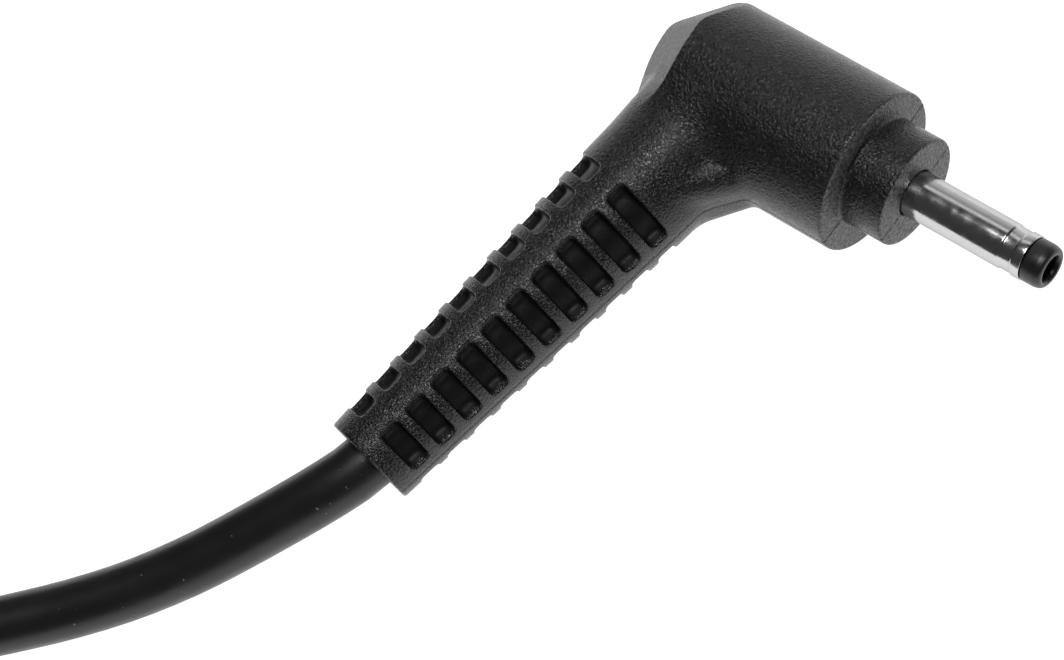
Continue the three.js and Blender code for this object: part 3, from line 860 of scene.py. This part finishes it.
def smoothed(points, spacing=ROUTE_SPACING):
    """A centripetal Catmull-Rom curve through the points, evenly sampled and kept above the floor."""
    p = np.array(points, float)
    p = np.vstack([2 * p[0] - p[1], p, 2 * p[-1] - p[-2]])
    out = []
    for i in range(1, len(p) - 2):
        q = p[i - 1 : i + 3]
        knots = np.concatenate([[0], np.cumsum(np.linalg.norm(np.diff(q, axis=0), axis=1) ** 0.5)])
        steps = max(2, int(np.linalg.norm(q[2] - q[1]) / spacing * 2))
        for t in np.linspace(knots[1], knots[2], steps, endpoint=False):
            a = [between(knots[j], knots[j + 1], t, q[j], q[j + 1]) for j in range(3)]
            b = [between(knots[j], knots[j + 2], t, a[j], a[j + 1]) for j in range(2)]
            out.append(between(knots[1], knots[2], t, b[0], b[1]))
    out.append(p[-2])
    line = np.array(out)
    run = np.concatenate([[0], np.cumsum(np.linalg.norm(np.diff(line, axis=0), axis=1))])
    even = np.linspace(0, run[-1], int(run[-1] / spacing) + 1)
    line = np.stack([np.interp(even, run, line[:, k]) for k in range(3)], axis=1)
    line[:, 2] = np.maximum(line[:, 2], CORD_RADIUS)
    return line


def add_lead(material):
    """One jacket from the brick, round the coil and into the plug."""
    join_in = [(-87.3, -43.5, 3.1)]
    join_out = [(-55.5, -79.2, 13.0), (-51.6, -79.9, 12.95)]
    route = BRICK_LEAD_ROUTE + join_in + coil_points() + join_out
    route += PLUG_LEAD_ROUTE[::-1] + jacket_inside_plug()[::-1]
    line = smoothed(route) * MM
    data = bpy.data.curves.new("output_lead", "CURVE")
    data.dimensions = "3D"
    data.bevel_depth = CORD_RADIUS * MM
    data.bevel_resolution = 8
    data.use_fill_caps = True
    spline = data.splines.new("POLY")
    spline.points.add(len(line) - 1)
    spline.points.foreach_set("co", np.c_[line, np.ones(len(line))].ravel())
    spline.use_smooth = True
    data.materials.append(material)
    lead = bpy.data.objects.new("output_lead", data)
    bpy.context.collection.objects.link(lead)
    return own(lead, "cord", "plug_lead", "cord_coil", "brick_lead")


# ---------------------------------------------------------------- brick and tie


def rounded_outline(length, width, corner, inset=0.0, steps=10):
    """Points round a rectangle with round corners, drawn in by the inset."""
    radius = max(corner - inset, 0.2)
    x, y = length / 2 - inset - radius, width / 2 - inset - radius
    points = []
    for cx, cy, start in ((x, y, 0), (-x, y, 90), (-x, -y, 180), (x, -y, 270)):
        for a in np.radians(np.linspace(start, start + 90, steps + 1)):
            points.append((cx + radius * math.cos(a), cy + radius * math.sin(a)))
    return points


def skinned(name, loops, material):
    """A closed piece through matching loops of points, capped at the first and last loop."""
    count = len(loops[0])
    vertices = [p for loop in loops for p in loop]
    faces = loop_faces(len(loops), count, closed=False)
    last = (len(loops) - 1) * count
    faces.append(tuple(range(count - 1, -1, -1)))
    faces.append(tuple(range(last, last + count)))
    piece = add_mesh(name, np.array(vertices) * MM, faces, material)
    work = bmesh.new()
    work.from_mesh(piece.data)
    bmesh.ops.recalc_face_normals(work, faces=work.faces)
    work.to_mesh(piece.data)
    work.free()
    return piece


def cut_away(piece, *cutters):
    """Subtracts the cutters, removes them, and keeps the hard edges sharp."""
    for cutter in cutters:
        modifier = piece.modifiers.new("cut", "BOOLEAN")
        modifier.operation = "DIFFERENCE"
        modifier.solver = "EXACT"
        modifier.object = cutter
    graph = bpy.context.evaluated_depsgraph_get()
    mesh = bpy.data.meshes.new_from_object(piece.evaluated_get(graph))
    piece.modifiers.clear()
    piece.data = mesh
    mesh.polygons.foreach_set("use_smooth", [True] * len(mesh.polygons))
    mesh.set_sharp_from_angle(angle=SHARP_ANGLE)
    for cutter in cutters:
        bpy.data.objects.remove(cutter)


def shell_loops(upper):
    """Loops for one half of the case: along its inside to the seam, then outside to the recessed panel."""
    seam = SEAM_HEIGHT + (0.5 if upper else -0.5) * SEAM_GAP
    face = BRICK_HEIGHT if upper else 0.0
    out = 1 if upper else -1
    panel = PANEL_INSET_TOP if upper else PANEL_INSET_BOTTOM
    steps = [(SEAM_BEVEL, seam), (0.0, seam + out * SEAM_BEVEL), (0.0, face - out * EDGE_ROUND)]
    for a in np.radians(np.linspace(10, 90, 9)):
        steps.append((EDGE_ROUND * (1 - math.cos(a)), face - out * EDGE_ROUND * (1 - math.sin(a))))
    steps += [(EDGE_ROUND + 0.4, face), (panel - 0.3, face), (panel, face)]
    sunk = face - out * PANEL_DEPTH
    steps += [(panel + 0.08, face - out * 0.05), (panel + 0.3, sunk), (panel + 0.6, sunk)]
    roof = face - out * WALL
    inner = [(WALL + 0.6, roof), (WALL, roof - out * 0.6), (WALL, seam)]
    loops = []
    for inset, z in inner + steps:
        outline = rounded_outline(BRICK_LENGTH, BRICK_WIDTH, BRICK_CORNER, inset)
        loops.append([(x, y, z) for x, y in outline])
    return loops


def prism(name, outline, low, high, flare=0.0):
    """A cutter along X from (y, z) points, its mouth widened by the flare."""
    middle = np.mean(outline, axis=0)
    loops = []
    for x, grow in ((low, 0), (high - CUT_LIP - flare, 0), (high - CUT_LIP, flare), (high, flare)):
        loop = []
        for p in outline:
            away = np.array(p) - middle
            q = np.array(p) + away / np.linalg.norm(away) * grow
            loop.append((x, q[0], q[1]))
        loops.append(loop)
    return skinned(name, loops, None)


def inlet_opening():
    """The cutter for the window that the inlet sits in."""
    outline = rounded_outline(INLET_WIDTH + 2 * FIT_GAP, INLET_HEIGHT + 2 * FIT_GAP, INLET_CORNER, steps=4)
    window = [(y, INLET_Z + z) for y, z in outline]
    front = BRICK_LENGTH / 2
    return prism("cut_inlet", window, front - INLET_DEPTH - 1, front + CUT_OVERHANG, 0.3)


def lead_opening():
    """The cutter for the round hole that the strain relief's neck passes through."""
    radius = GROMMET_NECK + FIT_GAP
    outside, inside = -BRICK_LENGTH / 2 - 1, -BRICK_LENGTH / 2 + WALL + 1
    hole = [(ON_AXIS, outside), (radius, outside), (radius, inside), (ON_AXIS, inside)]
    return lathe("cut_lead", hole, None, lying_at(0, SEAM_HEIGHT), 48)


def light_opening():
    """The cutter for the light's hole, with a small bevel round its mouth."""
    radius = LIGHT_RADIUS + 0.12
    hole = [(ON_AXIS, 20), (radius, 20), (radius, BRICK_HEIGHT - 0.2), (radius + 0.25, BRICK_HEIGHT + 0.05)]
    hole += [(radius + 0.25, BRICK_HEIGHT + 1), (ON_AXIS, BRICK_HEIGHT + 1)]
    return lathe("cut_light", hole, None, standing_at(*LED_PLACE), 32)


def add_shell(upper, material):
    """One half of the case, with its share of the openings."""
    piece = skinned("upper_case" if upper else "lower_case", shell_loops(upper), material)
    cutters = [inlet_opening(), lead_opening()]
    if upper:
        cutters.append(light_opening())
    cut_away(piece, *cutters)
    return own(piece, "casing", "upper_shell" if upper else "lower_shell")


def figure_of_eight():
    """The mains socket's outline: two round lobes joined by a slightly lower waist."""
    half = (SOCKET_WIDTH - SOCKET_HEIGHT) / 2
    radius = SOCKET_HEIGHT / 2
    open_angle = 180 - math.degrees(math.asin((radius - 0.5) / radius))
    points = []
    for centre, turn in ((half, 0), (-half, 180)):
        for a in np.radians(np.linspace(-open_angle, open_angle, 33) + turn):
            points.append((centre + radius * math.cos(a), INLET_Z + radius * math.sin(a)))
    return points


def add_inlet(material, nickel):
    """The mains inlet: a block with the socket cut into it, and its two pins."""
    back, front = BRICK_LENGTH / 2 - INLET_DEPTH, BRICK_LENGTH / 2
    loops = []
    for x, inset in ((back, 0.3), (back + 0.3, 0), (front - 0.3, 0), (front - 0.08, 0.08), (front, 0.3)):
        outline = rounded_outline(INLET_WIDTH, INLET_HEIGHT, INLET_CORNER, inset, steps=4)
        loops.append([(x, y, INLET_Z + z) for y, z in outline])
    block = skinned("inlet_block", loops, material)
    cut_away(block, prism("cut_socket", figure_of_eight(), front - SOCKET_DEPTH, front + CUT_OVERHANG, 0.35))
    pieces = [own(block, "inlet", "inlet_housing")]
    tip = front - SOCKET_DEPTH + PIN_PROUD
    for i, y in enumerate((-PIN_SPACING / 2, PIN_SPACING / 2), 1):
        profile = [(ON_AXIS, back - 3), (PIN_RADIUS, back - 3), (PIN_RADIUS, tip - 1)]
        profile += [(0.62, tip), (ON_AXIS, tip)]
        pin = lathe(f"mains_pin_{i}", rounded(profile, 0.4, 5), nickel, lying_at(y, INLET_Z), 32)
        pieces.append(own(pin, "nickel", f"inlet_pin_{i}"))
    return pieces


def add_brick_relief(material):
    """The ribbed sleeve that keeps the lead from kinking where it leaves the case."""
    face = -BRICK_LENGTH / 2
    flange = face + WALL + FIT_GAP
    root, mouth = face - FIT_GAP - 2.6, face - GROMMET_LENGTH
    bore = CORD_RADIUS + FIT_GAP
    profile = [(bore, flange + 1.8), (GROMMET_FLANGE, flange + 1.8), (GROMMET_FLANGE, flange)]
    profile += [(GROMMET_NECK, flange), (GROMMET_NECK, face - FIT_GAP), (GROMMET_FACE, face - FIT_GAP)]
    profile += [(GROMMET_FACE, root + 0.4), (4.3, root)]
    pitch = (root - mouth - 1.2) / BRICK_RIBS
    for i in range(BRICK_RIBS):
        at = root - 0.7 - i * pitch
        radius = RIB_RADIUS - RIB_TAPER * (root - at) / (root - mouth)
        profile += [(radius, at), (radius - 0.8, at - 0.1)]
        profile += [(radius - 0.85, at - 0.95), (radius - 0.05, at - 1.05)]
    profile += [(3.0, mouth), (bore, mouth)]
    sleeve = lathe("brick_sleeve", rounded(profile, 0.22, 3), material, lying_at(0, SEAM_HEIGHT), 72)
    return own(sleeve, "overmould", "brick_strain_relief")


def add_light(material):
    """The status light's clear rod, with a low dome on top."""
    bottom, dome = 12.5, 0.25
    profile = [(ON_AXIS, bottom), (LIGHT_RADIUS, bottom), (LIGHT_RADIUS, BRICK_HEIGHT - dome)]
    for a in (0.5, 0.9, 1.25):
        profile.append((LIGHT_RADIUS * math.cos(a), BRICK_HEIGHT - dome + dome * math.sin(a)))
    profile.append((ON_AXIS, BRICK_HEIGHT))
    lens = lathe("light_lens", profile, material, standing_at(*LED_PLACE), 32)
    return own(lens, "lens", "light_pipe")


def strap(name, path, thickness, material, closed):
    """A band across the tie's frame that follows (radial, height) points, with soft edges."""
    path = np.array(path, float)
    if closed:
        run = np.roll(path, -1, 0) - np.roll(path, 1, 0)
    else:
        run = np.gradient(path, axis=0)
    run /= np.linalg.norm(run, axis=1, keepdims=True)
    away = np.c_[run[:, 1], -run[:, 0]]
    half = thickness / 2
    side = TIE_WIDTH / 2 - half
    edge = [(half * math.cos(a), side + half * math.sin(a)) for a in np.linspace(0, math.pi, 7)]
    section = edge + [(-t, -w) for t, w in edge]
    across, along = math.sin(TIE_ANGLE), math.cos(TIE_ANGLE)
    loops = []
    for p, n in zip(path, away):
        loop = []
        for t, w in section:
            r, z = p + n * t
            x = COIL_CENTRE[0] + r * along - w * across
            y = COIL_CENTRE[1] + r * across + w * along
            loop.append((x, y, z))
        loops.append(loop)
    if not closed:
        return skinned(name, loops, material)
    vertices = np.array([p for loop in loops for p in loop]) * MM
    return add_mesh(name, vertices, loop_faces(len(loops), len(section), closed=True), material)


def add_tie(material):
    """A hook-and-loop strap round one side of the coil, its tail lapped over the top and down the outside."""
    width = (TURNS_PER_LAYER + 0.5) * 2 * CORD_RADIUS
    clear = FIT_GAP + TIE_THICKNESS / 2
    inner = math.sqrt((COIL_MEAN_RADIUS - width / 2) ** 2 - (TIE_WIDTH / 2) ** 2) - clear
    outer = COIL_MEAN_RADIUS + width / 2 + clear
    low = TIE_THICKNESS / 2
    high = COIL_LIFT + 2 * CORD_RADIUS + (COIL_LAYERS - 1) * LAYER_RISE + clear
    middle = ((inner + outer) / 2, (low + high) / 2)
    corners = rounded_outline(outer - inner, high - low, TIE_BEND, steps=8)
    ring = [(middle[0] + x, middle[1] + z) for x, z in corners]
    band = strap("tie_band", ring, TIE_THICKNESS, material, closed=True)
    lift = TIE_THICKNESS * 0.9
    lapped = rounded_outline(outer - inner + 2 * lift, high - low + 2 * lift, TIE_BEND + lift, steps=8)[:9]
    tail = [(outer + lift, low + 5.0), (outer + lift, middle[1])]
    tail += [(middle[0] + x, middle[1] + z) for x, z in lapped]
    tail += [(middle[0] + r, high + lift * rise) for r, rise in ((2.5, 1.0), (0.5, 0.8), (-1.0, 0.4))]
    end = strap("tie_tail", tail, TIE_THICKNESS * 0.8, material, closed=False)
    return [own(band, "tie", "cord_tie"), own(end, "tie", "cord_tie")]


# ---------------------------------------------------------------- build

INNER_FINISHES = {
    "board": ((0.03, 0.14, 0.05), 0.4, 0.0),
    "fish_paper": ((0.68, 0.63, 0.5), 0.8, 0.0),
    "aluminium": ((0.6, 0.6, 0.61), 0.4, 1.0),
    "ferrite": ((0.03, 0.03, 0.035), 0.6, 0.0),
    "tape": ((0.6, 0.42, 0.05), 0.4, 0.0),
    "epoxy": ((0.012, 0.012, 0.014), 0.45, 0.0),
    "can_sleeve": ((0.015, 0.018, 0.03), 0.35, 0.0),
    "film_yellow": ((0.6, 0.42, 0.06), 0.5, 0.0),
    "disc_blue": ((0.03, 0.12, 0.38), 0.35, 0.0),
    "pre_mould": ((0.7, 0.68, 0.6), 0.5, 0.0),
    "brass": ((0.6, 0.42, 0.15), 0.3, 1.0),
    "tin": ((0.6, 0.61, 0.62), 0.4, 1.0),
    "wire_red": ((0.4, 0.02, 0.02), 0.45, 0.0),
    "wire_black": ((0.012, 0.012, 0.012), 0.45, 0.0),
    "inlet": ((0.012, 0.012, 0.013), 0.4, 0.0),
    "lens": ((0.75, 0.8, 0.75), 0.12, 0.0),
}


def finish_nodes(finishes):
    """Gives each CAD node that still shows the material of its slot in the record."""
    slots = {row["node"]: row["material_slot"] for row in frame["record"]["subparts"]}
    for name, node in frame["nodes"].items():
        node.data.materials.clear()
        node.data.materials.append(finishes[slots[name]])


overmould = overmould_material()
cord = cord_material()
nickel = nickel_material()
insulator = insulator_material()
finishes = {name: plain_material(name + "_finish", *values) for name, values in INNER_FINISHES.items()}
finishes.update(casing=casing_material(), overmould=overmould, cord=cord, tie=tie_material())
finishes.update(nickel=nickel, insulator=insulator)
finish_nodes(finishes)

add_camera()
add_floor()
add_lights()
lead = add_lead(cord)
skin = add_overmould(overmould, lit_end_face_material(), shaded_pocket_material())
barrel = add_barrel(nickel, insulator)
case = [add_shell(upper, finishes["casing"]) for upper in (True, False)]
inlet = add_inlet(finishes["inlet"], nickel)
sleeve = add_brick_relief(overmould)
light = add_light(finishes["lens"])
tie = add_tie(finishes["tie"])

ON_LEAD = [skin, *barrel, *tie, sleeve] + [
    frame["nodes"][name]
    for name in (
        "plug_inner_mould",
        "centre_contact",
        "insulating_washer",
        "wire_positive",
        "wire_negative",
        "solder_joint_centre",
        "solder_joint_sleeve",
    )
]

# The brick stands right behind the plug, so its black reflection is kept off the plug.
for piece in [*case, *inlet, light, *frame["nodes"].values()]:
    if piece not in ON_LEAD:
        piece.visible_glossy = False
